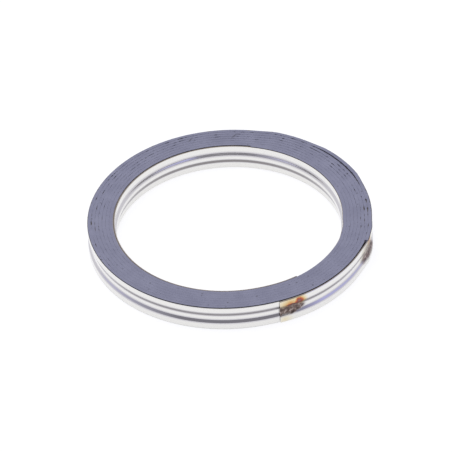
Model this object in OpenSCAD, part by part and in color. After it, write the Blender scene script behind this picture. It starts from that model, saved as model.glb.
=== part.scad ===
// Spiral-wound exhaust gasket. One beaded stainless strip and one graphite strip are wound up
// together, edge on. The strip's first and last turns are bare and spot-welded to themselves.
// The bore axis is Z and the ring's mid-height is z = 0. Azimuths are in degrees from +X towards +Y,
// and the winding runs outwards clockwise, seen from above. Lengths are in millimetres.

/* [Strip] */
// Bore across the flat margins of the innermost turn
bore_d = 40.1; // [34:0.1:60]
// Width of the strip, along the bore axis
strip_w = 4.64; // [3.6:0.02:7]
// Thickness of the strip
strip_t = 0.2; // [0.14:0.01:0.3]
// How far the bead along the strip stands out towards the bore
bead_depth = 0.26; // [0.1:0.01:0.4]
// Height of the bead's flat crown
bead_crown_h = 0.88; // [0.5:0.02:1.2]
// Height of each sloping side of the bead
bead_side_h = 0.68; // [0.4:0.02:0.9]

/* [Filler] */
// Thickness of the filler between two turns of the strip
filler_t = 0.37; // [0.32:0.01:0.6]
// How far the filler stands proud of the strip's edges on each face
filler_proud = 0.08; // [0.06:0.01:0.4]
// Open seam between the lips that pressing spread over the strip's edges
seam_w = 0.06; // [0.04:0.01:0.12]

/* [Winding] */
// Turns of the strip outside its bare first turn
turns = 8; // [4:1:12]
// Clearance between neighbouring layers
wind_gap = 0.03; // [0.02:0.01:0.05]
// Azimuth of the strip's start, at the bore
strip_start_az = -56; // [-80:1:-54]
// Azimuth of the filler's start
filler_start_az = 68; // [66:1:100]
// Azimuth of the filler's end
filler_end_az = -18; // [-40:1:-8]
// Angle before the filler's end at which each turn leaves to climb over the strip's start
climb_lead = 6; // [2:1:7]
// Azimuth of the strip's end, on the outside
strip_end_az = -72; // [-150:1:-68]

/* [Bulge] */
// Azimuth of the middle of the place where the outermost layer has come away
bulge_az = 35; // [28:1:45]
// How far the outermost layer stands off there
bulge_h = 0.24; // [0.1:0.01:0.3]
// Angle from one foot of the bulge to the other
bulge_span = 38; // [24:1:40]

/* [Spot welds] */
// Diameter of a weld nugget
weld_d = 1.1; // [0.6:0.05:1.4]
// How far an outer nugget stands up from the floor of the bead's groove
weld_proud = 0.06; // [0.02:0.01:0.1]
// Angle from the end of a bare overlap to its nearest nugget
weld_inset = 3; // [2:1:5]
// Angle between the two nuggets at the bore
weld_spacing = 18; // [10:1:40]

/* [Hidden] */
$fn = 180;

// What a turn climbs over the strip's start, over the filler's start, and over both
strip_rise = strip_t + wind_gap;
filler_rise = filler_t + wind_gap;
pitch = strip_rise + filler_rise;

first_r = bore_d / 2;
function turn_r(i) = first_r + strip_rise + (i - 1) * pitch;
last_r = turn_r(turns);

// Heights above mid-height
strip_top = strip_w / 2;
filler_top = strip_top + filler_proud;
lip_z = strip_top + wind_gap;
bead_crown_z = bead_crown_h / 2;
bead_foot_z = bead_crown_z + bead_side_h;
lip_reach = (strip_t + 2 * wind_gap - seam_w) / 2;

// Where a straight run meets an arc, the run is this much slimmer all round and goes on into the arc
// by this length, and an arc goes on over its bend by this angle, so that the winding is one solid
run_slim = 0.005;
run_over = 0.2;
bend_over = 0.2;

// Angle of the short arc at the filler's end
end_flat = 0.5;

// Angle that a taut strip takes to run straight from one radius to another
function run_span(r_a, r_b) = acos(min(r_a, r_b) / max(r_a, r_b));

// Azimuths where each turn leaves to climb over the strip's start and over the filler's start
climb_az = filler_end_az + climb_lead;
filler_step_az = filler_start_az + run_span(turn_r(1), turn_r(1) + filler_rise);

// Outlines of the two strips, across the winding, with their sides drawn in by slim

// The lower half of a beaded wall, from an edge at height -z to the bead's crown
function wall_half(r, z) = [[r, -z], [r, -bead_foot_z], [r - bead_depth, -bead_crown_z]];
// The lower half of a filler wall: its lip, which reaches out by reach, and the beaded wall
function lip_half(r, reach, slim) = concat(
    [[r + reach, slim - filler_top], [r + reach, -lip_z - slim]],
    wall_half(r, lip_z + slim)
);
// A half outline and its mirror image above mid-height
function upwards(half) = concat(half, [for (i = [len(half) - 1:-1:0]) [half[i].x, -half[i].y]]);
function downwards(half) = [for (p = upwards(half)) [p.x, -p.y]];

strip_outline = function(r, slim = 0) concat(
    upwards(wall_half(r + slim, strip_top - slim)),
    downwards(wall_half(r + strip_t - slim, strip_top - slim))
);
filler_outline = function(r, slim = 0) concat(
    upwards(lip_half(r + slim, -lip_reach, slim)),
    downwards(lip_half(r + filler_t - slim, lip_reach, slim))
);

// Routes of the two strips, as arcs of [from, to, radius] about the bore axis, clockwise.
// Wound taut, a strip runs straight from one arc to the next: off the lower arc on its tangent, and
// bent where it meets the higher one.

// A turn up to its climb over the filler's start
function up_to_filler(r) =
    [climb_az - run_span(r - strip_rise, r), filler_step_az - 360, r];
// A whole turn, up to its climb over the strip's start
function full_turn(r) = [
    up_to_filler(r),
    [filler_step_az - run_span(r, r + filler_rise), climb_az, r + filler_rise]
];
// The outermost turn, which bulges, and lies lifted on the climb under it where the filler ends
function outermost_turn(r) =
    let (
        low = r + filler_rise,
        high = low + bulge_h,
        from = bulge_az + bulge_span / 2,
        to = bulge_az - bulge_span / 2
    ) [
        up_to_filler(r),
        [filler_step_az - run_span(r, low), from, low],
        [from - run_span(low, high), to + run_span(low, high), high],
        [to, climb_az, low],
        [filler_end_az, filler_end_az - end_flat, low / cos(climb_lead)]
    ];

// The strip begins with a bare turn and ends in a bare tail, which drops past the filler's end
tail_r = last_r + strip_rise;
lifted_r = (last_r + filler_rise) / cos(climb_lead);
tail_az = filler_end_az - end_flat - run_span(lifted_r, tail_r);
strip_route = concat(
    [[strip_start_az, climb_az - 360, first_r]],
    [for (i = [1:turns - 1]) each full_turn(turn_r(i))],
    outermost_turn(last_r),
    [[tail_az, strip_end_az, tail_r]]
);

// The filler lies on the outside of the strip's own turns
filler_route = concat(
    [[filler_start_az, climb_az, first_r + strip_rise]],
    [for (i = [1:turns - 2]) each full_turn(turn_r(i) + strip_rise)],
    outermost_turn(turn_r(turns - 1) + strip_rise)
);

// An arc of the winding
module arc(from, to, outline) {
    rotate_extrude(angle = from - to, start = to)
        polygon(outline);
}

// A straight run off the lower arc at an azimuth: clockwise up to the higher arc, or the other way
module run(az, low, high, way, outline) {
    rotate(az)
        mirror([0, way == "down" ? 1 : 0, 0])
            translate([0, run_over, 0])
                rotate([90, 0, 0])
                    linear_extrude(run_over + sqrt(high ^ 2 - low ^ 2))
                        polygon(outline(low, run_slim));
}

// An outline wound along a route
module wound(route, outline) {
    for (k = [0:len(route) - 1]) {
        from = route[k][0];
        to = route[k][1];
        r = route[k][2];
        r_before = k > 0 ? route[k - 1][2] : r;
        r_after = k < len(route) - 1 ? route[k + 1][2] : r;
        arc(
            from + (r > r_before ? bend_over : 0),
            to - (r > r_after ? bend_over : 0),
            outline(r)
        );
        if (r_after > r) {
            run(to, r, r_after, "up", outline);
        }
        if (r_after < r) {
            run(route[k + 1][0], r_after, r, "down", outline);
        }
    }
}

// A nugget through the bead's crown, from the middle of the turn at radius r into the next one out
module nugget(az, r, proud) {
    rotate(az)
        translate([r - bead_depth + strip_t / 2, 0, 0])
            rotate([0, 90, 0])
                cylinder(d = weld_d, h = strip_rise + proud);
}

module steel_strip() {
    color("#d8d9dd") {
        wound(strip_route, strip_outline);
        // At the bore, the nuggets hold the strip's start under its second turn
        for (az = [strip_start_az - weld_inset, strip_start_az - weld_inset - weld_spacing]) {
            nugget(az, first_r, 0);
        }
        // On the outside, they hold the strip's end on the turn under it
        for (az = [tail_az + weld_inset, strip_end_az + weld_inset]) {
            nugget(az, last_r, strip_t / 2 + weld_proud);
        }
    }
}

module graphite_filler() {
    color("#85879e")
        wound(filler_route, filler_outline);
}

steel_strip();
graphite_filler();
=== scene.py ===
"""Dressed model of a spiral-wound exhaust gasket.

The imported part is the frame. Its two nodes, the beaded stainless strip and the graphite filler, are
replaced by sweeps along the same windings, with rounded beads, pressed lips, worn seams, weld
nuggets and heat tints. Sizes are in millimetres and azimuths in degrees, windings run clockwise
towards lower azimuths, and every finished mesh is in metres. The bore axis is Z.
"""
import logging
import math
from dataclasses import asdict, dataclass, fields
from enum import Enum
from functools import partial
from typing import Any, NamedTuple, Optional, Union

import bpy
import numpy as np
from mathutils import Matrix, Vector, noise


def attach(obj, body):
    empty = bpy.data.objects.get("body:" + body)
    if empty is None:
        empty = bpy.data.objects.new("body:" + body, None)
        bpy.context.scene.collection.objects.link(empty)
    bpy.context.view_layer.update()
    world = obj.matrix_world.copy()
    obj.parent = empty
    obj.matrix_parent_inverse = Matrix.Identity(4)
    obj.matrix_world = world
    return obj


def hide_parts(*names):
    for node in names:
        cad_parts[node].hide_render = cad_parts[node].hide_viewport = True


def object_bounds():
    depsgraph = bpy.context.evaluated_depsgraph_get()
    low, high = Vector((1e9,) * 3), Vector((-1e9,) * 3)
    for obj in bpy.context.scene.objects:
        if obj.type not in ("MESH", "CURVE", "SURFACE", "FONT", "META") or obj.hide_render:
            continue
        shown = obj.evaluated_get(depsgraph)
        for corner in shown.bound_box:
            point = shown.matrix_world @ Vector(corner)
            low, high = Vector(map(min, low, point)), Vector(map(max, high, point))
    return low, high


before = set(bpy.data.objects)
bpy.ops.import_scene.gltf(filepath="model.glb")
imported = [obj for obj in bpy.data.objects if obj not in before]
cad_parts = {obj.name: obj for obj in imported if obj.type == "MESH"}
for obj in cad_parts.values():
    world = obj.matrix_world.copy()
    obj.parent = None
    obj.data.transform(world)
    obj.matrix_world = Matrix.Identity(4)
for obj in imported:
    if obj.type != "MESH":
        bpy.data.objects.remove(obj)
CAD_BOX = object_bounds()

LOG = logging.getLogger("exhaust_gasket")
MM = 0.001
BODY = "root"
FULL_TURN = 360.0
HALF_TURN = FULL_TURN / 2
ROUND_OFF = 1e-9


class Slot(Enum):
    """Names for the strip's and the filler's materials."""

    STEEL = "steel"
    GRAPHITE = "graphite"


class Wall(Enum):
    """The two walls of a wound strip, with their place in the "winding" attribute."""

    OUTER = 0.0
    INNER = 20.0


class Arc(NamedTuple):
    """A stretch of a winding about the bore axis, from one azimuth clockwise to another."""

    start: float
    end: float
    radius: float


def to_linear(colour: str) -> tuple[float, float, float, float]:
    """Turns an sRGB hex colour into a linear one.

    Args:
        colour: Hex colour such as "#85879e".

    Returns:
        Linear red, green, blue and an alpha of 1.
    """
    parts = [int(colour[i:i + 2], 16) / 255 for i in (1, 3, 5)]
    linear = [c / 12.92 if c <= 0.04045 else ((c + 0.055) / 1.055) ** 2.4 for c in parts]
    return (*linear, 1.0)


def add_node(
    tree: bpy.types.NodeTree,
    kind: str,
    inputs: Optional[dict[Union[str, int], Any]] = None,
    stops: Optional[tuple[tuple[float, str], ...]] = None,
    **settings: Any,
) -> bpy.types.Node:
    """Adds a node with its settings and links.

    Args:
        tree: Node tree that gets the node.
        kind: Blender's name of the node type.
        inputs: Values and sockets by input name or number. A socket is linked, a value is set.
        stops: Positions from 0 to 1 with hex colours, in order, for a colour ramp.
        settings: Properties of the node.

    Returns:
        The new node.
    """
    node = tree.nodes.new(kind)
    for name, value in settings.items():
        setattr(node, name, value)
    for key, value in (inputs or {}).items():
        if isinstance(value, bpy.types.NodeSocket):
            tree.links.new(value, node.inputs[key])
        else:
            node.inputs[key].default_value = value
    for i, (position, colour) in enumerate(stops or ()):
        elements = node.color_ramp.elements
        element = elements[i] if i < len(elements) else elements.new(position)
        element.position = position
        element.color = to_linear(colour)
    return node


def new_material(name: str) -> tuple[bpy.types.Material, bpy.types.NodeTree, bpy.types.Node]:
    """Makes a material with an empty tree and its output.

    Args:
        name: Name of the material.

    Returns:
        The material, its node tree and the output node.
    """
    material = bpy.data.materials.new(name)
    material.use_nodes = True
    tree = material.node_tree
    tree.nodes.clear()
    return material, tree, add_node(tree, "ShaderNodeOutputMaterial")


def add_mark(
    tree: bpy.types.NodeTree,
    place: bpy.types.NodeSocket,
    middle: tuple[float, float, float],
    reach: tuple[float, float, float],
    turn: float = 0.0,
) -> bpy.types.NodeSocket:
    """Adds a round mark that fades outwards.

    Args:
        tree: Node tree that gets the mark.
        place: Socket with the place.
        middle: Middle of the mark.
        reach: How far it reaches along its three axes.
        turn: Its turn about Z, in degrees.

    Returns:
        Socket that is 1 in the middle of the mark and 0 past its reach.
    """
    mapped = add_node(
        tree, "ShaderNodeMapping",
        {
            "Vector": place,
            "Location": middle,
            "Rotation": (0.0, 0.0, math.radians(turn)),
            "Scale": reach,
        },
        vector_type="TEXTURE",
    )
    mark = add_node(
        tree, "ShaderNodeTexGradient", {"Vector": mapped.outputs[0]}, gradient_type="SPHERICAL"
    )
    return mark.outputs["Fac"]


def new_piece(name: str, mesh: bpy.types.Mesh) -> bpy.types.Object:
    """Links a mesh to the scene as an object at the origin.

    Args:
        name: Name of the object.
        mesh: Its mesh, in place.

    Returns:
        The object.
    """
    piece = bpy.data.objects.new(name, mesh)
    bpy.context.scene.collection.objects.link(piece)
    return piece


def run_span(r_a: float, r_b: float) -> float:
    """Gives the angle that a taut strip takes to run straight from one radius to another."""
    return math.degrees(math.acos(min(r_a, r_b) / max(r_a, r_b)))


@dataclass(frozen=True)
class Winding:
    """Sizes and routes of the two strips, as the CAD part has them apart from what a comment names."""

    bore_d: float = 40.1
    strip_w: float = 4.64
    strip_t: float = 0.2
    bead_depth: float = 0.26
    crown_h: float = 0.88
    side_h: float = 0.68
    filler_t: float = 0.37
    filler_proud: float = 0.08
    seam_w: float = 0.06
    turns: int = 8
    gap: float = 0.03
    strip_start_az: float = -56.0
    filler_start_az: float = 68.0
    filler_end_az: float = -18.0
    climb_lead: float = 6.0
    end_flat: float = 0.5
    # A degree before the solid's end, as in the photo
    strip_end_az: float = -71.0
    bulge_az: float = 35.0
    bulge_h: float = 0.24
    bulge_span: float = 38.0
    # Not in the solids: the rounding of the bead's creases, and the hump where the ring is uneven
    crease: float = 0.12
    hump_h: float = 0.27
    hump_span: tuple[float, float] = (-80.0, -4.0)
    hump_fades: tuple[float, float] = (30.0, 7.0)
    # Angle between the points of a trace before some are picked, and the angle that a bend takes
    fine_step: float = 0.1
    bend_window: float = 3.0

    @property
    def round_crown_h(self) -> float:
        """Height of the bead's crown between its rounded creases."""
        return self.crown_h - self.crease

    @property
    def round_side_h(self) -> float:
        """Height of a side of the bead with its rounded creases."""
        return self.side_h + self.crease

    @property
    def strip_rise(self) -> float:
        """What a turn climbs over one thickness of strip."""
        return self.strip_t + self.gap

    @property
    def filler_rise(self) -> float:
        """What a turn climbs over one thickness of filler."""
        return self.filler_t + self.gap

    @property
    def first_r(self) -> float:
        """Inner radius of the bare first turn."""
        return self.bore_d / 2

    @property
    def last_r(self) -> float:
        """Inner radius of the outermost turn at its start."""
        return self.turn_r(self.turns)

    @property
    def tail_r(self) -> float:
        """Inner radius of the bare tail."""
        return self.last_r + self.strip_rise

    @property
    def tail_az(self) -> float:
        """Azimuth where the tail comes to rest on the turn under it."""
        lifted = (self.last_r + self.filler_rise) / math.cos(math.radians(self.climb_lead))
        return self.filler_end_az - self.end_flat - run_span(lifted, self.tail_r)

    @property
    def climb_az(self) -> float:
        """Azimuth where each turn leaves to climb over the strip's start."""
        return self.filler_end_az + self.climb_lead

    @property
    def filler_step_az(self) -> float:
        """Azimuth where each turn leaves to climb over the filler's start."""
        low = self.turn_r(1)
        return self.filler_start_az + run_span(low, low + self.filler_rise)

    def hump(self, azimuths: np.ndarray) -> np.ndarray:
        """Gives how far every layer stands out near the strip's two ends, where the ring is uneven.

        Args:
            azimuths: Azimuths along a winding.

        Returns:
            The height of the hump at each azimuth.
        """
        turned = (azimuths + HALF_TURN) % FULL_TURN - HALF_TURN
        rise = (turned - self.hump_span[0]) / self.hump_fades[0]
        fall = (self.hump_span[1] - turned) / self.hump_fades[1]
        share = np.clip(np.minimum(rise, fall), 0, 1)
        return self.hump_h * share ** 2 * (3 - 2 * share)

    def turn_r(self, turn: int) -> float:
        """Inner radius of a turn outside the bare first one."""
        return self.first_r + self.strip_rise + (turn - 1) * (self.strip_rise + self.filler_rise)

    def up_to_filler(self, radius: float) -> Arc:
        """A turn up to its climb over the filler's start."""
        lands = self.climb_az - run_span(radius - self.strip_rise, radius)
        return Arc(lands, self.filler_step_az - FULL_TURN, radius)

    def full_turn(self, radius: float) -> list[Arc]:
        """A whole turn, up to its climb over the strip's start."""
        high = radius + self.filler_rise
        rest = Arc(self.filler_step_az - run_span(radius, high), self.climb_az, high)
        return [self.up_to_filler(radius), rest]

    def outermost_turn(self, radius: float) -> list[Arc]:
        """The outermost turn, with its bulge, up to where it lies lifted at the filler's end.

        Args:
            radius: Its radius before the climb over the filler's start.

        Returns:
            Its arcs.
        """
        low = radius + self.filler_rise
        high = low + self.bulge_h
        leaves = self.bulge_az + self.bulge_span / 2
        lands = self.bulge_az - self.bulge_span / 2
        lift = run_span(low, high)
        lifted = low / math.cos(math.radians(self.climb_lead))
        return [
            self.up_to_filler(radius),
            Arc(self.filler_step_az - run_span(radius, low), leaves, low),
            Arc(leaves - lift, lands + lift, high),
            Arc(lands, self.climb_az, low),
            Arc(self.filler_end_az, self.filler_end_az - self.end_flat, lifted),
        ]

    def strip_route(self) -> list[Arc]:
        """The strip's route, from its bare first turn to its bare tail."""
        route = [Arc(self.strip_start_az, self.climb_az - FULL_TURN, self.first_r)]
        for turn in range(1, self.turns):
            route += self.full_turn(self.turn_r(turn))
        route += self.outermost_turn(self.last_r)
        return route + [Arc(self.tail_az, self.strip_end_az, self.tail_r)]

    def filler_route(self) -> list[Arc]:
        """The filler's route, on the outside of the strip's own turns."""
        route = [Arc(self.filler_start_az, self.climb_az, self.first_r + self.strip_rise)]
        for turn in range(1, self.turns - 1):
            route += self.full_turn(self.turn_r(turn) + self.strip_rise)
        return route + self.outermost_turn(self.turn_r(self.turns - 1) + self.strip_rise)

    def trace(
        self, route: list[Arc], step: float, last_span: float = 0.0, last_step: float = 1.0
    ) -> tuple[np.ndarray, np.ndarray]:
        """Walks along a route of arcs with straight taut runs between them.

        Args:
            route: Arcs, clockwise.
            step: Angle between two points.
            last_span: Angle before the end that has points closer together.
            last_step: Angle between two points there.

        Returns:
            Falling azimuths, and the radius at each, with its bends rounded.
        """
        knots: list[Arc] = []
        head = route[0].start
        for arc in route:
            start = arc.start - FULL_TURN * math.ceil((arc.start - head) / FULL_TURN - ROUND_OFF)
            head = start - (arc.start - arc.end)
            knots.append(Arc(start, head, arc.radius))
        count = round((knots[0].start - knots[-1].end) / self.fine_step) + 1
        azimuths = np.linspace(knots[0].start, knots[-1].end, count)
        radii = np.full(count, knots[-1].radius)
        for here, after in zip(knots, knots[1:]):
            radii[(azimuths <= here.start) & (azimuths >= here.end)] = here.radius
            leaves = here.end if after.radius > here.radius else after.start
            run = (azimuths < here.end) & (azimuths > after.start)
            low = min(here.radius, after.radius)
            radii[run] = low / np.cos(np.radians(azimuths[run] - leaves))
        half = round(self.bend_window / self.fine_step / 2)
        padded = np.pad(radii, half, mode="edge")
        rounded = np.convolve(padded, np.full(2 * half + 1, 1 / (2 * half + 1)), mode="valid")
        rounded += self.hump(azimuths)
        fine_from = count - 1 - round(last_span / self.fine_step)
        coarse = np.arange(0, fine_from, round(step / self.fine_step))
        fine = np.arange(fine_from, count, round(last_step / self.fine_step))
        picks = np.unique(np.concatenate((coarse, fine, [count - 1])))
        return azimuths[picks], rounded[picks]


@dataclass(frozen=True)
class Outline:
    """Sizes of a strip's cross-section. Each field is an input of the winding tree."""

    width: float
    thickness: float
    bead_depth: float
    crown_h: float
    side_h: float
    lip_reach: float = 0.0
    lip_height: float = 0.0
    corner: float = 0.02
    crowding: float = 0.0
    side_points: int = 28

    def inputs(self) -> dict[str, Union[int, float]]:
        """The tree's inputs by name, with lengths in metres."""
        not_lengths = ("crowding", "side_points")
        return {name: size if name in not_lengths else size * MM for name, size in asdict(self).items()}


class WindingTree:
    """Geometry Nodes that sweep a beaded, lipped outline along a flat path."""

    # Sums that lay the points of a circle out as the outline: up the inner wall, down the outer one
    STEPS: tuple[tuple[Any, ...], ...] = (
        ("points", "MULTIPLY", "side_points", 2.0),
        ("last", "SUBTRACT", "points", 1.0),
        ("end", "SUBTRACT", "side_points", 1.0),
        ("outer", "GREATER_THAN", "Index", "end"),
        ("way back", "SUBTRACT", "last", "Index"),
        ("level", "MINIMUM", "Index", "way back"),
        ("share", "DIVIDE", "level", "end"),
        ("even", "SUBTRACT", "share", 0.5),
        # Crowding moves the points towards the two edges
        ("angle", "MULTIPLY", "even", math.pi),
        ("sine", "SINE", "angle"),
        ("half sine", "MULTIPLY", "sine", 0.5),
        ("excess", "SUBTRACT", "half sine", "even"),
        ("crowded", "MULTIPLY_ADD", "excess", "crowding", "even"),
        ("z", "MULTIPLY", "crowded", "width"),
        ("height", "ABSOLUTE", "z"),
        # The bead: full at the crown and nothing past the foot of its sloping sides
        ("foot", "MULTIPLY_ADD", "crown_h", 0.5, "side_h"),
        ("below foot", "SUBTRACT", "foot", "height"),
        ("climbed", "DIVIDE", "below foot", "side_h"),
        ("no more", "MINIMUM", "climbed", 1.0),
        ("slope", "MAXIMUM", "no more", 0.0),
        # Both ends of a side are rounded, as the roll leaves them
        ("steepness", "MULTIPLY_ADD", "slope", -2.0, 3.0),
        ("slope squared", "MULTIPLY", "slope", "slope"),
        ("rounded", "MULTIPLY", "slope squared", "steepness"),
        ("bead", "MULTIPLY", "rounded", "bead_depth"),
        # The lips, which reach out to both sides, and the rounded corners
        ("top", "MULTIPLY", "width", 0.5),
        ("lip foot", "SUBTRACT", "top", "lip_height"),
        ("on lip", "GREATER_THAN", "height", "lip foot"),
        ("reach", "MULTIPLY", "on lip", "lip_reach"),
        ("corner foot", "SUBTRACT", "top", "corner"),
        ("over corner", "SUBTRACT", "height", "corner foot"),
        ("corner share", "DIVIDE", "over corner", "corner"),
        ("turned", "MAXIMUM", "corner share", 0.0),
        ("squared", "MULTIPLY", "turned", "turned"),
        ("inset", "MULTIPLY", "squared", "corner"),
        ("spread", "SUBTRACT", "reach", "inset"),
        ("sign", "MULTIPLY_ADD", "outer", 2.0, -1.0),
        ("wall", "MULTIPLY", "outer", "thickness"),
        ("flat", "MULTIPLY_ADD", "spread", "sign", "wall"),
        # The path's upward normal points to the bore, so the outline's outward side is its minus X
        ("inward", "SUBTRACT", "bead", "flat"),
    )

    def __init__(self) -> None:
        """Builds the tree once."""
        self.tree = bpy.data.node_groups.new("wind_strip", "GeometryNodeTree")
        face = self.tree.interface
        face.new_socket("Geometry", in_out="OUTPUT", socket_type="NodeSocketGeometry")
        self.sockets: dict[str, str] = {}
        sizes = {field.name: "Float" for field in fields(Outline)} | {"side_points": "Int"}
        for name, kind in {"path": "Geometry", **sizes, "material": "Material"}.items():
            socket = face.new_socket(name, in_out="INPUT", socket_type=f"NodeSocket{kind}")
            self.sockets[name] = socket.identifier
        self._build()

    def _build(self) -> None:
        """Adds the nodes from the path and the outline to the finished sweep."""
        add = partial(add_node, self.tree)
        given = add("NodeGroupInput").outputs
        known: dict[Any, Any] = {name: given[name] for name in self.sockets}
        known["Index"] = add("GeometryNodeInputIndex").outputs[0]
        for name, operation, *operands in self.STEPS:
            inputs = {i: known.get(operand, operand) for i, operand in enumerate(operands)}
            known[name] = add("ShaderNodeMath", inputs, operation=operation).outputs[0]
        circle = add("GeometryNodeCurvePrimitiveCircle", {"Resolution": known["points"]})
        place = add("ShaderNodeCombineXYZ", {"X": known["inward"], "Y": known["z"]})
        laid = add(
            "GeometryNodeSetPosition",
            {"Geometry": circle.outputs["Curve"], "Position": place.outputs[0]},
        )
        path = add("GeometryNodeMeshToCurve", {"Mesh": given["path"]})
        upright = add("GeometryNodeSetCurveNormal", {"Curve": path.outputs["Curve"]}, mode="Z_UP")
        swept = add(
            "GeometryNodeCurveToMesh",
            {
                "Curve": upright.outputs["Curve"],
                "Profile Curve": laid.outputs["Geometry"],
                "Fill Caps": True,
            },
        )
        real = add("GeometryNodeRealizeInstances", {"Geometry": swept.outputs["Mesh"]})
        dressed = add(
            "GeometryNodeSetMaterial",
            {"Geometry": real.outputs["Geometry"], "Material": given["material"]},
        )
        add("NodeGroupOutput", {"Geometry": dressed.outputs["Geometry"]})

    def wind(
        self,
        name: str,
        azimuths: np.ndarray,
        radii: np.ndarray,
        outline: Outline,
        material: bpy.types.Material,
    ) -> bpy.types.Mesh:
        """Sweeps an outline along a path and gives the plain mesh.

        Args:
            name: Name of the mesh.
            azimuths: Azimuths along the path.
            radii: Radii along the path, in millimetres.
            outline: Cross-section to sweep.
            material: Material of the sweep.

        Returns:
            The mesh, ring after ring of the outline's points.
        """
        angles = np.radians(azimuths)
        flat = np.zeros_like(radii)
        points = np.column_stack((radii * np.cos(angles), radii * np.sin(angles), flat)) * MM
        line = bpy.data.meshes.new(f"{name}_path")
        edges = [(i, i + 1) for i in range(len(points) - 1)]
        line.from_pydata(points.tolist(), edges, [])
        carrier = new_piece(f"{name}_path", line)
        modifier = carrier.modifiers.new("wind", "NODES")
        modifier.node_group = self.tree
        for key, value in {**outline.inputs(), "material": material}.items():
            modifier[self.sockets[key]] = value
        graph = bpy.context.evaluated_depsgraph_get()
        mesh = bpy.data.meshes.new_from_object(carrier.evaluated_get(graph), depsgraph=graph)
        mesh.name = name
        carrier.modifiers.remove(modifier)
        bpy.data.objects.remove(carrier)
        return mesh


class WoundGrid:
    """The points of a wound mesh as rings along the winding by points around the outline."""

    def __init__(self, mesh: bpy.types.Mesh, azimuths: np.ndarray) -> None:
        """Reads the points, in millimetres.

        Args:
            mesh: A mesh from the winding tree.
            azimuths: Azimuth of each of its rings.
        """
        self.mesh = mesh
        self.azimuths = azimuths
        flat = np.empty(len(mesh.vertices) * 3)
        mesh.vertices.foreach_get("co", flat)
        self.points = flat.reshape(len(azimuths), -1, 3) / MM
        self.per_ring = self.points.shape[1]
        self.outer = np.arange(self.per_ring) >= self.per_ring // 2
        radians = np.radians(azimuths)
        self.out = np.column_stack((np.cos(radians), np.sin(radians)))
        middle = self.points[:, :, :2].mean(axis=1)
        steps = np.hypot(*np.diff(middle, axis=0).T)
        self.along = np.concatenate((np.cumsum(steps[::-1])[::-1], [0.0]))

    def push(self, amounts: np.ndarray) -> None:
        """Moves the points away from the bore axis by an amount each, in millimetres."""
        self.points[:, :, :2] += self.out[:, None, :] * amounts[:, :, None]

    def mark(self, name: str, values: np.ndarray) -> None:
        """Gives every point a value.

        Args:
            name: Name of the attribute.
            values: The values, ring by ring, or one row or column for all rings or points.
        """
        layer = self.mesh.attributes.new(name, "FLOAT", "POINT")
        layer.data.foreach_set("value", np.broadcast_to(values, self.points.shape[:2]).ravel())

    def finish(self, sharp_angle: float) -> None:
        """Writes the points back, with the place along the winding and the shading.

        The "winding" attribute holds the length from the winding's end, the height and the wall.

        Args:
            sharp_angle: Angle between two faces, above which their edge is sharp.
        """
        self.mesh.vertices.foreach_set("co", (self.points * MM).ravel())
        place = np.empty_like(self.points)
        place[:, :, 0] = self.along[:, None]
        place[:, :, 1] = self.points[:, :, 2]
        place[:, :, 2] = np.where(self.outer, Wall.OUTER.value, Wall.INNER.value)
        layer = self.mesh.attributes.new("winding", "FLOAT_VECTOR", "POINT")
        layer.data.foreach_set("vector", place.ravel())
        self.mesh.update()
        self.mesh.shade_smooth()
        self.mesh.set_sharp_from_angle(angle=math.radians(sharp_angle))


def wrinkle(points: np.ndarray, grain: float, offset: float) -> np.ndarray:
    """Evaluates smooth noise at points.

    Args:
        points: Rows of x and y, in millimetres.
        grain: Size of the noise's lumps, in millimetres.
        offset: Height of the slice through the noise, so that two uses differ.

    Returns:
        Noise from about -1 to 1 at each point.
    """
    return np.array([noise.noise(Vector((x, y, offset))) for x, y in points / grain])


@dataclass(frozen=True)
class Spot:
    """A round mark on the strip: where it is from the strip's end, and how far it reaches."""

    along: float
    z: float
    reach_along: float
    reach_z: float
    strength: float = 1.0
    wall: Wall = Wall.OUTER


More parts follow.
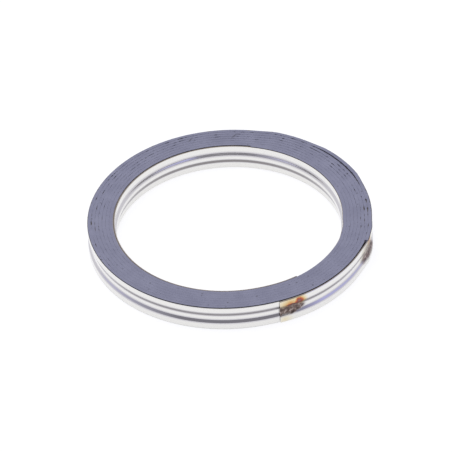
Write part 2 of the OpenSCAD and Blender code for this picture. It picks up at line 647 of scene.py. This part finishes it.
@dataclass(frozen=True)
class ColdRolledStainless:
    """Bright cold-rolled stainless strip.

    Rolling leaves a near-mirror with faint lines along the strip. The bead's sloping sides carry
    painted shade, darkest on those that face down, the cut edges are dull with graphite, and the
    spot welds leave straw, orange and brown heat tints with a burnt crust in the groove.
    """

    tints: tuple[Spot, ...]
    burns: tuple[Spot, ...]
    half_width: float
    bright: str = "#e7e6e3"
    # Painted shade on the bead's sloping sides, and a darker tone of it for the sides that face down
    flank_shade: str = "#cac8cc"
    flank_shade_down: str = "#848081"
    smudge: str = "#595453"
    bare_edge: str = "#9c938e"
    # Heights between which the edge begins, as shares of half the strip's width
    edge_from: float = 0.988
    edge_to: float = 0.994
    heat_colours: tuple[tuple[float, str], ...] = (
        (0.00, "#ffffff"),
        (0.10, "#fcf6e4"),
        (0.24, "#f4e2b8"),
        (0.36, "#e8b87c"),
        (0.46, "#cc6d55"),
        (0.56, "#a2605a"),
        (0.72, "#94827e"),
        (1.00, "#8a7d78"),
    )
    crust_colours: tuple[tuple[float, str], ...] = (
        (0.36, "#4a403e"),
        (0.48, "#6f5a54"),
        (0.58, "#83756f"),
        (0.68, "#b3a39e"),
    )
    # Grain of the crust, and how far it shakes the outlines of tints and burns
    ragged_mm: float = 0.7
    shake_mm: float = 0.7
    # Strength at which a burn covers the metal, and what its crust is like
    burnt_at: float = 0.3
    burnt_roughness: float = 0.35
    burnt_metallic: float = 0.5
    crust_depth: float = 0.1
    crust_bump: float = 0.5
    # Rolling lines: finer than a pixel in life, drawn 0.16 mm apart so that they show
    line_mm: float = 0.16
    lines_per_mm_along: float = 0.12
    line_depth: float = 0.02
    line_bump: float = 0.05
    smoothest: float = 0.05
    roughest: float = 0.17

    def _spots(self, tree: bpy.types.NodeTree, place: Any, spots: tuple[Spot, ...]) -> Any:
        """Adds a group of round marks.

        Args:
            tree: The material's tree.
            place: Socket with the place along the winding.
            spots: The marks.

        Returns:
            Socket with the strongest mark: its strength in the middle and 0 past its reach.
        """
        strongest: Any = 0.0
        for spot in spots:
            middle = (spot.along, spot.z, spot.wall.value)
            mark = add_mark(tree, place, middle, (spot.reach_along, spot.reach_z, 1.0))
            scaled = add_node(
                tree, "ShaderNodeMath", {0: mark, 1: spot.strength}, operation="MULTIPLY"
            )
            strongest = add_node(
                tree, "ShaderNodeMath", {0: scaled.outputs[0], 1: strongest}, operation="MAXIMUM"
            ).outputs[0]
        return strongest

    def _metal(self, tree: bpy.types.NodeTree, place: Any) -> Any:
        """Colours the strip: bright, with painted shade on the bead's sides and dull at the edges.

        Args:
            tree: The material's tree.
            place: Socket with the place along the winding.

        Returns:
            Socket with the colour.
        """
        add = partial(add_node, tree)
        # Painted shade: the bead's sides darken from the bright tone, most where they face down
        sides = add("ShaderNodeAttribute", attribute_name="flank_shade").outputs["Fac"]
        across = add(
            "ShaderNodeValToRGB", {"Fac": sides},
            ((0.0, self.bright), (0.5, self.flank_shade), (1.0, self.flank_shade_down)),
        ).outputs["Color"]
        # The edges are dark with graphite, except where the strip is bare
        bare = add("ShaderNodeAttribute", attribute_name="bare").outputs["Fac"]
        dull = add(
            "ShaderNodeMix",
            {0: bare, 6: to_linear(self.smudge), 7: to_linear(self.bare_edge)}, data_type="RGBA",
        ).outputs[2]
        height = add("ShaderNodeSeparateXYZ", {0: place}).outputs["Y"]
        level = add("ShaderNodeMath", {0: height}, operation="ABSOLUTE").outputs[0]
        share = add("ShaderNodeMath", {0: level, 1: self.half_width}, operation="DIVIDE").outputs[0]
        on_edge = add(
            "ShaderNodeMapRange",
            {"Value": share, "From Min": self.edge_from, "From Max": self.edge_to},
        ).outputs["Result"]
        return add("ShaderNodeMix", {0: on_edge, 6: across, 7: dull}, data_type="RGBA").outputs[2]

    def material(self) -> bpy.types.Material:
        """Builds the material."""
        material, tree, output = new_material("cold_rolled_stainless_heat_tinted")
        add = partial(add_node, tree)
        place = add("ShaderNodeAttribute", attribute_name="winding").outputs["Vector"]
        ragged = add(
            "ShaderNodeTexNoise", {"Vector": place, "Scale": 1 / self.ragged_mm, "Detail": 2.0}
        ).outputs
        shaken = add(
            "ShaderNodeVectorMath",
            {0: ragged["Color"], 1: (self.shake_mm, self.shake_mm, 0.0), 2: place},
            operation="MULTIPLY_ADD",
        ).outputs[0]
        # The noise is about a half everywhere, so its shift is taken back here
        half_shake = self.shake_mm / 2
        centred = add(
            "ShaderNodeVectorMath", {0: shaken, 1: (half_shake, half_shake, 0.0)},
            operation="SUBTRACT",
        ).outputs[0]
        heat = self._spots(tree, centred, self.tints)
        tint = add("ShaderNodeValToRGB", {"Fac": heat}, self.heat_colours).outputs["Color"]
        tinted = add(
            "ShaderNodeMix", {0: 1.0, 6: self._metal(tree, place), 7: tint},
            data_type="RGBA", blend_type="MULTIPLY",
        ).outputs[2]
        burnt = add(
            "ShaderNodeMapRange",
            {"Value": self._spots(tree, centred, self.burns), "From Max": self.burnt_at},
        ).outputs["Result"]
        crust = add("ShaderNodeValToRGB", {"Fac": ragged["Fac"]}, self.crust_colours)
        colour = add(
            "ShaderNodeMix", {0: burnt, 6: tinted, 7: crust.outputs["Color"]}, data_type="RGBA"
        ).outputs[2]
        stretched = add(
            "ShaderNodeMapping",
            {"Vector": place, "Scale": (self.lines_per_mm_along, 1 / self.line_mm, 1.0)},
        ).outputs[0]
        streak = add(
            "ShaderNodeTexNoise", {"Vector": stretched, "Scale": 1.0, "Detail": 2.0}
        ).outputs["Fac"]
        polish = add(
            "ShaderNodeMapRange",
            {"Value": streak, "To Min": self.smoothest, "To Max": self.roughest},
        ).outputs["Result"]
        rough = add(
            "ShaderNodeMath", {0: burnt, 1: self.burnt_roughness, 2: polish},
            operation="MULTIPLY_ADD",
        ).outputs[0]
        metallic = add(
            "ShaderNodeMapRange", {"Value": burnt, "To Min": 1.0, "To Max": self.burnt_metallic}
        ).outputs["Result"]
        lines = add(
            "ShaderNodeBump",
            {"Height": streak, "Strength": self.line_bump, "Distance": self.line_depth * MM},
        ).outputs["Normal"]
        flakes = add("ShaderNodeMath", {0: ragged["Fac"], 1: burnt}, operation="MULTIPLY").outputs[0]
        bump = add(
            "ShaderNodeBump",
            {
                "Height": flakes,
                "Strength": self.crust_bump,
                "Distance": self.crust_depth * MM,
                "Normal": lines,
            },
        ).outputs["Normal"]
        shader = add(
            "ShaderNodeBsdfPrincipled",
            {"Base Color": colour, "Metallic": metallic, "Roughness": rough, "Normal": bump},
        )
        tree.links.new(shader.outputs["BSDF"], output.inputs["Surface"])
        return material


class Scuff(NamedTuple):
    """A handling mark on the upper face: its middle, half length, half width and turn from +X."""

    x: float
    y: float
    length: float
    width: float
    turn: float


@dataclass(frozen=True)
class PressedGraphite:
    """Flexible graphite strip, pressed flat between dies.

    Pressing gives a blue-grey satin with fine grain, faint marks along the winding and small
    pits where flakes broke out, darkened with painted shade.
    """

    light: str = "#8687a0"
    dark: str = "#7a7b94"
    # Dark tone of the painted shade in the pits, also used for the real handling marks
    pit_shade_and_scuff: str = "#484755"
    scuffs: tuple[Scuff, ...] = (
        Scuff(-6.1, 22.4, 0.95, 0.2, 57.0),
        Scuff(1.7, 22.9, 1.0, 0.22, 50.0),
        Scuff(4.3, -22.0, 0.35, 0.2, 20.0),
        Scuff(13.4, -17.2, 0.25, 0.22, 0.0),
        Scuff(-4.6, 24.4, 0.3, 0.18, 80.0),
    )
    face_z: float = 2.4
    cloud_mm: float = 3.0
    grain_mm: float = 0.25
    # Streaks to a millimetre along the winding, up it and from wall to wall
    streaks: tuple[float, float, float] = (0.35, 3.0, 3.0)
    # Weights of the streaks and of the grain beside the clouds, and the tones from dark to light
    streak_weight: float = 0.4
    grain_weight: float = 0.6
    dark_tone: float = 0.4
    light_tone: float = 0.6
    # Pits: their spacing, the share of it where they begin and are full, and the clouds with pits
    pit_mm: float = 1.3
    pit_rim: float = 0.17
    pit_floor: float = 0.07
    pitted_from: float = 0.47
    pitted_to: float = 0.58
    pit_strength: float = 0.8
    relief: float = 0.05
    relief_bump: float = 0.2
    roughness: float = 0.5
    grain_roughness: float = 0.2
    ior: float = 1.5

    def _pit_shade_and_scuffs(self, tree: bpy.types.NodeTree, coords: Any, cloud: Any) -> Any:
        """Adds the pits, darkened with painted shade, and the handling marks.

        Args:
            tree: The material's tree.
            coords: Socket with the object's coordinates.
            cloud: Socket with the clouds that say where pits are.

        Returns:
            Socket that is 0 on the plain face and up to 1 in a pit.
        """
        add = partial(add_node, tree)
        cells = add(
            "ShaderNodeTexVoronoi", {"Vector": coords, "Scale": 1 / (self.pit_mm * MM)}
        ).outputs["Distance"]
        holes = add(
            "ShaderNodeMapRange",
            {"Value": cells, "From Min": self.pit_rim, "From Max": self.pit_floor},
        ).outputs["Result"]
        patches = add(
            "ShaderNodeMapRange",
            {
                "Value": cloud,
                "From Min": self.pitted_from,
                "From Max": self.pitted_to,
                "To Max": self.pit_strength,
            },
        ).outputs["Result"]
        pits = add("ShaderNodeMath", {0: holes, 1: patches}, operation="MULTIPLY").outputs[0]
        for scuff in self.scuffs:
            middle = (scuff.x * MM, scuff.y * MM, self.face_z * MM)
            reach = (scuff.length * MM, scuff.width * MM, MM)
            mark = add_mark(tree, coords, middle, reach, scuff.turn)
            pits = add("ShaderNodeMath", {0: mark, 1: pits}, operation="MAXIMUM").outputs[0]
        return pits

    def material(self) -> bpy.types.Material:
        """Builds the material."""
        material, tree, output = new_material("pressed_flexible_graphite")
        add = partial(add_node, tree)
        coords = add("ShaderNodeTexCoord").outputs["Object"]
        place = add("ShaderNodeAttribute", attribute_name="winding").outputs["Vector"]
        stretched = add("ShaderNodeMapping", {"Vector": place, "Scale": self.streaks}).outputs[0]
        streak = add(
            "ShaderNodeTexNoise", {"Vector": stretched, "Scale": 1.0, "Detail": 3.0}
        ).outputs["Fac"]
        cloud = add(
            "ShaderNodeTexNoise",
            {"Vector": coords, "Scale": 1 / (self.cloud_mm * MM), "Detail": 3.0},
        ).outputs["Fac"]
        grain = add(
            "ShaderNodeTexNoise",
            {"Vector": coords, "Scale": 1 / (self.grain_mm * MM), "Detail": 4.0},
        ).outputs["Fac"]
        streaked = add(
            "ShaderNodeMath", {0: streak, 1: self.streak_weight, 2: cloud},
            operation="MULTIPLY_ADD",
        ).outputs[0]
        summed = add(
            "ShaderNodeMath", {0: grain, 1: self.grain_weight, 2: streaked},
            operation="MULTIPLY_ADD",
        ).outputs[0]
        weights = 1 + self.streak_weight + self.grain_weight
        tone = add("ShaderNodeMath", {0: summed, 1: 1 / weights}, operation="MULTIPLY").outputs[0]
        base = add(
            "ShaderNodeValToRGB", {"Fac": tone},
            ((self.dark_tone, self.dark), (self.light_tone, self.light)),
        ).outputs["Color"]
        pits = self._pit_shade_and_scuffs(tree, coords, cloud)
        # Painted shade darkens the pits; the handling marks take the same dark colour
        colour = add(
            "ShaderNodeMix", {0: pits, 6: base, 7: to_linear(self.pit_shade_and_scuff)}, data_type="RGBA"
        ).outputs[2]
        relief = add("ShaderNodeMath", {0: grain, 1: pits}, operation="SUBTRACT").outputs[0]
        bump = add(
            "ShaderNodeBump",
            {"Height": relief, "Strength": self.relief_bump, "Distance": self.relief * MM},
        ).outputs["Normal"]
        rough = add(
            "ShaderNodeMath", {0: grain, 1: self.grain_roughness, 2: self.roughness},
            operation="MULTIPLY_ADD",
        ).outputs[0]
        shader = add(
            "ShaderNodeBsdfPrincipled",
            {"Base Color": colour, "Roughness": rough, "IOR": self.ior, "Normal": bump},
        )
        tree.links.new(shader.outputs["BSDF"], output.inputs["Surface"])
        return material


@dataclass(frozen=True)
class OpalBoard:
    """Matt opal board of a light table.

    Its even glow keeps shadows faint, and it is clear from below.
    """

    colour: str = "#8c8c8e"
    roughness: float = 0.9
    glow_colour: str = "#fdfdff"
    glow: float = 0.83

    def material(self) -> bpy.types.Material:
        """Builds the material."""
        material, tree, output = new_material("matt_opal_board")
        shader = add_node(
            tree, "ShaderNodeBsdfPrincipled",
            {
                "Base Color": to_linear(self.colour),
                "Roughness": self.roughness,
                "Specular IOR Level": 0.0,
                "Emission Color": to_linear(self.glow_colour),
                "Emission Strength": self.glow,
            },
        )
        clear = add_node(tree, "ShaderNodeBsdfTransparent")
        below = add_node(tree, "ShaderNodeNewGeometry").outputs["Backfacing"]
        sided = add_node(
            tree, "ShaderNodeMixShader", {0: below, 1: shader.outputs[0], 2: clear.outputs[0]}
        )
        tree.links.new(sided.outputs[0], output.inputs["Surface"])
        return material


@dataclass(frozen=True)
class ReflectedCard:
    """Glowing card seen only in the metal, a painted reflection: grey in the middle, lavender at both
    sides.
    """

    strength: float = 1.3
    colours: tuple[tuple[float, str], ...] = (
        (0.00, "#e2e3ee"),
        (0.16, "#dcdde8"),
        (0.27, "#d2d2e8"),
        (0.33, "#b4b4c0"),
        (0.41, "#8d8c92"),
        (0.60, "#8d8c92"),
        (0.66, "#cbccf5"),
        (0.76, "#cdceea"),
        (0.86, "#d2d4e0"),
        (1.00, "#dee0e8"),
    )

    def material(self) -> bpy.types.Material:
        """Builds the material."""
        material, tree, output = new_material("glowing_reflection_card")
        turn = add_node(tree, "ShaderNodeAttribute", attribute_name="turn").outputs["Fac"]
        # The card glows in these colours and paints the reflections that the metal shows
        reflected_glow = add_node(tree, "ShaderNodeValToRGB", {"Fac": turn}, self.colours)
        shader = add_node(
            tree, "ShaderNodeEmission",
            {"Color": reflected_glow.outputs["Color"], "Strength": self.strength},
        )
        tree.links.new(shader.outputs["Emission"], output.inputs["Surface"])
        return material


@dataclass
class BeadedStrip:
    """The stainless strip: a bare first turn, the wound turns and a bare welded tail."""

    winding: Winding
    tree: WindingTree
    step: float = 3.0
    tail_span: float = 64.0
    tail_step: float = 0.4
    end_lift: float = 0.06
    end_lift_span: float = 4.0
    side_points: int = 40
    sharp_angle: float = 50.0
    # How far the painted shade reaches from the middle of a side, in half sides, and how flat its
    # middle is
    shade_reach_down: float = 1.35
    shade_reach_up: float = 1.4
    shade_level: float = 1.4
    # How dark the painted shade is on the sides that face down, on both walls, and on those that face
    # up
    shade_outer_down: float = 0.85
    shade_inner_down: float = 1.0
    shade_up: float = 0.58
    # Domes of the weld nuggets, with their heights as strengths
    nuggets: tuple[Spot, ...] = (
        Spot(0.95, 0.0, 0.55, 0.42, 0.13),
        Spot(3.4, 0.1, 0.55, 0.4, 0.13),
        Spot(21.6, 0.0, 0.6, 0.42, 0.1),
        Spot(24.2, 0.05, 0.6, 0.4, 0.1),
    )
    # Straw over the first weld, red by its second nugget, pale below the groove, then the other weld
    tints: tuple[Spot, ...] = (
        Spot(1.9, 1.1, 3.2, 2.2, 0.44),
        Spot(3.7, 1.4, 1.7, 1.3, 0.75),
        Spot(2.6, 1.0, 2.6, 0.5, 0.85),
        Spot(0.9, -1.8, 1.8, 1.2, 0.16),
        Spot(22.8, 0.9, 4.0, 2.2, 0.16),
        Spot(23.6, 1.8, 1.5, 1.2, 0.56),
    )
    # Burnt crust in the groove at the first weld, and over the strip's height at the other
    burns: tuple[Spot, ...] = (
        Spot(0.2, -0.05, 0.5, 1.1),
        Spot(2.3, -0.05, 2.9, 1.0),
        Spot(23.0, 1.2, 3.2, 1.6, 0.26),
        Spot(21.9, -0.4, 2.2, 1.3, 0.45),
        Spot(23.4, -0.4, 2.4, 1.5, 0.5),
        Spot(25.2, -0.5, 2.2, 1.8, 0.6),
    )

    def finish(self) -> ColdRolledStainless:
        """Gives the strip's finish, with its marks from the welds."""
        return ColdRolledStainless(self.tints, self.burns, self.winding.strip_w / 2)

    def _weld(self, grid: WoundGrid) -> None:
        """Raises the weld nuggets on the outer wall.

        Args:
            grid: Points of the strip.
        """
        lift = np.zeros(grid.points.shape[:2])
        for nugget in self.nuggets:
            off_along = (grid.along[:, None] - nugget.along) / nugget.reach_along
            off_z = (grid.points[:, :, 2] - nugget.z) / nugget.reach_z
            dome = nugget.strength * np.exp(-(off_along ** 2 + off_z ** 2))
            lift = np.maximum(lift, np.where(grid.outer, dome, 0.0))
        grid.push(lift)

    def _mark(self, grid: WoundGrid) -> None:
        """Marks the painted shade on the bead's sides and the stretches that have no filler beside
        them.

        Args:
            grid: Points of the strip.
        """
        winding = self.winding
        z = grid.points[:, :, 2]
        middle = (winding.crown_h + winding.side_h) / 2
        faces_down = np.where(grid.outer, z > 0, z < 0)
        stretch = np.where(faces_down, self.shade_reach_down, self.shade_reach_up)
        off = (np.abs(z) - middle) / (winding.round_side_h / 2 * stretch)
        flank_shade = np.clip(self.shade_level * (1 - off ** 2), 0, 1)
        down = np.where(grid.outer, self.shade_outer_down, self.shade_inner_down)
        # Painted shade on the bead's sides, strongest in their middle and darker where they face down
        grid.mark("flank_shade", flank_shade * np.where(faces_down, down, self.shade_up))
        bare_start = 2 * FULL_TURN + winding.strip_start_az - winding.filler_step_az
        bare_end = winding.filler_end_az - winding.strip_end_az
        turned = grid.azimuths[0] - grid.azimuths
        bare = (turned < bare_start) | (turned[-1] - turned < bare_end)
        grid.mark("bare", bare.astype(float)[:, None])

    def build(self) -> bpy.types.Object:
        """Winds the strip, lifts its free end a little and welds it down.

        Returns:
            The piece.
        """
        winding = self.winding
        azimuths, radii = winding.trace(
            winding.strip_route(), self.step, self.tail_span, self.tail_step
        )
        lift = np.clip(1 - (azimuths - azimuths[-1]) / self.end_lift_span, 0, 1) ** 2
        outline = Outline(
            winding.strip_w,
            winding.strip_t,
            winding.bead_depth,
            winding.round_crown_h,
            winding.round_side_h,
            side_points=self.side_points,
        )
        mesh = self.tree.wind(
            "stainless_winding", azimuths, radii + lift * self.end_lift, outline,
            self.finish().material(),
        )
        grid = WoundGrid(mesh, azimuths)
        self._weld(grid)
        self._mark(grid)
        grid.finish(self.sharp_angle)
        piece = new_piece("stainless_winding", mesh)
        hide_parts("steel_strip")
        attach(piece, BODY)
        return piece


@dataclass
class GraphiteFiller:
    """The graphite strip, with lips that pressing spread over the steel's edges."""

    winding: Winding
    tree: WindingTree
    step: float = 0.8
    side_points: int = 12
    corner: float = 0.006
    feather: float = 9.0
    lip_height: float = 0.05
    crowding: float = 0.95
    sharp_angle: float = 20.0
    # Pressing smeared the seams shut at the front. They open over a stretch on either side
    shut_az: float = -88.0
    shut_span: float = 110.0
    open_span: float = 60.0
    # At the back they are parted a little more, from this far round
    parted_from: float = 110.0
    parted_span: float = 50.0
    parted_w: float = 0.014
    # Wear grows outwards from the bore, over this width of the face
    wear_w: float = 4.5
    least_wear: float = 0.3
    # Widths and sizes of the pits along a seam, of its wander and of its least opening
    pit_w: float = 0.34
    pit_mm: float = 0.6
    pit_from: float = 0.22
    wander_w: float = 0.012
    wander_mm: float = 1.6
    least_w: float = 0.003
    # Depth and size of the dips along the lips, and the share of them where the seams are shut
    dip_h: float = 0.02
    dip_mm: float = 2.3
    shut_dip: float = 0.3
    # Slices of the noise for the wander and for the dips
    wander_slice: float = 7.0
    dip_slice: float = 3.0
    # Thickness that is left at the feathered start, as a share
    feather_tip: float = 0.06

    def _wear(self, grid: WoundGrid) -> None:
        """Opens and closes the seams along the lips, and breaks pits out of them.

        Args:
            grid: Points of the filler.
        """
        winding = self.winding
        away = np.abs((grid.azimuths - self.shut_az + HALF_TURN) % FULL_TURN - HALF_TURN)
        worn = np.clip((away - self.shut_span / 2) / (self.open_span / 2), 0, 1)
        parted = np.clip((away - self.parted_from) / self.parted_span, 0, 1) * self.parted_w
        shut = -winding.seam_w / 2
        shift = np.zeros(grid.points.shape[:2])
        for column in range(grid.per_ring):
            z = grid.points[:, column, 2]
            if abs(z[0]) < winding.strip_w / 2 + winding.gap:
                continue
            plane = grid.points[:, column, :2]
            from_bore = np.hypot(*plane.T) - winding.first_r
            outward = np.clip(from_bore / self.wear_w, self.least_wear, 1)
            lumps = wrinkle(plane, self.pit_mm, z[0])
            pits = np.clip(lumps - self.pit_from, 0, 1) * self.pit_w
            wander = wrinkle(plane, self.wander_mm, self.wander_slice + z[0]) * self.wander_w
            opened = pits * outward + wander + parted + self.least_w
            opening = shut + opened * outward * worn
            shift[:, column] = np.where(grid.outer[column], -opening, opening)
            dip = np.abs(wrinkle(plane, self.dip_mm, self.dip_slice + column)) * self.dip_h
            grid.points[:, column, 2] -= np.sign(z) * dip * (self.shut_dip + (1 - self.shut_dip) * worn)
        # The start is feathered, so that it fills the wedge under the turn that climbs over it
        turned = grid.azimuths[0] - grid.azimuths
        full = np.clip(turned / self.feather, self.feather_tip, 1)
        shift -= np.outer((1 - full) * winding.filler_t, grid.outer)
        grid.push(shift)

    def build(self, finish: PressedGraphite) -> bpy.types.Object:
        """Winds and wears the filler.

        Args:
            finish: Finish of the filler.

        Returns:
            The piece.
        """
        winding = self.winding
        first, *others = winding.filler_route()
        feathered = first._replace(start=first.start + self.feather)
        azimuths, radii = winding.trace([feathered, *others], self.step)
        outline = Outline(
            winding.strip_w + 2 * winding.filler_proud,
            winding.filler_t,
            winding.bead_depth,
            winding.round_crown_h,
            winding.round_side_h,
            lip_reach=(winding.strip_t + 2 * winding.gap - winding.seam_w) / 2,
            lip_height=self.lip_height,
            corner=self.corner,
            crowding=self.crowding,
            side_points=self.side_points,
        )
        mesh = self.tree.wind("graphite_winding", azimuths, radii, outline, finish.material())
        grid = WoundGrid(mesh, azimuths)
        self._wear(grid)
        grid.finish(self.sharp_angle)
        piece = new_piece("graphite_winding", mesh)
        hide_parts("graphite_filler")
        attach(piece, BODY)
        return piece


@dataclass
class Studio:
    """Camera, light, board and the card that the metal reflects.

    The camera's distance and scale are in millimetres, and the board, card and lamp are in metres.
    """

    top_z: float
    lens: float = 679.0
    sensor: float = 36.0
    distance: float = 1500.0
    elevation: float = 39.2
    roll: float = -2.74
    px_per_mm: float = 5.683
    top_px: tuple[float, float] = (228.4, 217.6)
    image_px: float = 452.0
    board: float = 6.0
    # In millimetres, so that the part does not touch the board
    board_gap: float = 0.01
    front_az: float = -90.0
    card_span: float = 284.0
    far_span: float = 70.0
    far_r: float = 0.0325
    near_r: float = 0.028
    card_h: float = 0.014
    card_steps: int = 48
    clip_end: float = 20.0
    room_colour: str = "#fdfdff"
    room_light: float = 0.66
    lamp_size: float = 0.8
    lamp_power: float = 3.0
    lamp_place: tuple[float, float, float] = (-0.15, 0.1, 1.0)

    def camera(self) -> None:
        """Places the camera so that the top face's middle falls on its place in the picture."""
        angle = math.radians(self.elevation)
        turn = math.radians(self.roll)
        level = Vector((1, 0, 0))
        rise = Vector((0, math.sin(angle), math.cos(angle)))
        back = Vector((0, -math.cos(angle), math.sin(angle)))
        right = level * math.cos(turn) + rise * math.sin(turn)
        up = rise * math.cos(turn) - level * math.sin(turn)
        half = self.image_px / 2
        off = right * (self.top_px[0] - half) + up * (half - self.top_px[1])
        aim = (Vector((0, 0, self.top_z)) - off / self.px_per_mm) * MM
        data = bpy.data.cameras.new("camera")
        data.lens = self.lens
        data.sensor_width = self.sensor
        data.clip_end = self.clip_end
        camera = bpy.data.objects.new("camera", data)
        bpy.context.scene.collection.objects.link(camera)
        spot = aim + back * self.distance * MM
        turned = Matrix((right, up, back)).transposed().to_4x4()
        camera.matrix_world = Matrix.Translation(spot) @ turned
        bpy.context.scene.camera = camera

    def floor(self) -> None:
        """Lays the opal board under the part."""
        half = self.board / 2
        low = CAD_BOX[0][2] - self.board_gap * MM
        mesh = bpy.data.meshes.new("board")
        corners = [(-half, -half, low), (half, -half, low), (half, half, low), (-half, half, low)]
        mesh.from_pydata(corners, [], [(0, 1, 2, 3)])
        mesh.materials.append(OpalBoard().material())
        new_piece("board", mesh)

    def card(self) -> None:
        """Stands a curved glowing card on the board, seen only in the metal, with both its ends near.
        """
        half = self.card_span / 2
        turns = np.linspace(0, 1, self.card_steps + 1)
        off = half * (2 * turns - 1)
        nearness = np.clip((np.abs(off) - self.far_span / 2) / (half - self.far_span / 2), 0, 1)
        radii = self.far_r + (self.near_r - self.far_r) * nearness
        angles = np.radians(self.front_az + off)
        foot = CAD_BOX[0][2]
        rim = zip(radii * np.cos(angles), radii * np.sin(angles))
        points = [(x, y, z) for x, y in rim for z in (foot, foot + self.card_h)]
        faces = [(2 * i, 2 * i + 1, 2 * i + 3, 2 * i + 2) for i in range(self.card_steps)]
        mesh = bpy.data.meshes.new("card")
        mesh.from_pydata(points, [], faces)
        layer = mesh.attributes.new("turn", "FLOAT", "POINT")
        layer.data.foreach_set("value", np.repeat(turns, 2))
        mesh.materials.append(ReflectedCard().material())
        piece = new_piece("card", mesh)
        # The card's glow is a painted reflection: the camera, diffuse light and shadows don't see it
        piece.visible_camera = False
        piece.visible_diffuse = False
        piece.visible_shadow = False

    def light(self) -> None:
        """Lights the scene from a white room and one soft lamp above."""
        scene = bpy.context.scene
        world = bpy.data.worlds.new("white_room")
        world.use_nodes = True
        tree = world.node_tree
        tree.nodes.clear()
        add = partial(add_node, tree)
        ray = add("ShaderNodeLightPath").outputs
        shown = ray["Is Camera Ray"]
        for kind in ("Is Glossy Ray", "Is Transmission Ray"):
            shown = add("ShaderNodeMath", {0: shown, 1: ray[kind]}, operation="MAXIMUM").outputs[0]
        plain = add(
            "ShaderNodeBackground",
            {"Color": to_linear(self.room_colour), "Strength": self.room_light},
        )
        white = add("ShaderNodeBackground", {"Color": to_linear("#ffffff")})
        both = add("ShaderNodeMixShader", {0: shown, 1: plain.outputs[0], 2: white.outputs[0]})
        add("ShaderNodeOutputWorld", {"Surface": both.outputs[0]})
        scene.world = world
        lamp = bpy.data.lights.new("soft_lamp", "AREA")
        lamp.shape = "DISK"
        lamp.size = self.lamp_size
        lamp.energy = self.lamp_power
        lit = bpy.data.objects.new("soft_lamp", lamp)
        lit.location = self.lamp_place
        lit.rotation_euler = (-lit.location).to_track_quat("-Z", "Y").to_euler()
        scene.collection.objects.link(lit)
        scene.view_settings.view_transform = "Standard"

    def build(self) -> None:
        """Sets the whole stage."""
        self.camera()
        self.floor()
        self.card()
        self.light()


def main() -> None:
    """Builds the pieces in order and reports each one."""
    logging.basicConfig(level=logging.INFO, format="%(name)s: %(message)s")
    winding = Winding()
    tree = WindingTree()
    pieces = [
        BeadedStrip(winding, tree).build(),
        GraphiteFiller(winding, tree).build(PressedGraphite()),
    ]
    for piece in pieces:
        LOG.info("%s: %d faces, rides on %s", piece.name, len(piece.data.polygons), BODY)
    Studio(winding.strip_w / 2 + winding.filler_proud).build()


if __name__ == "__main__":
    main()
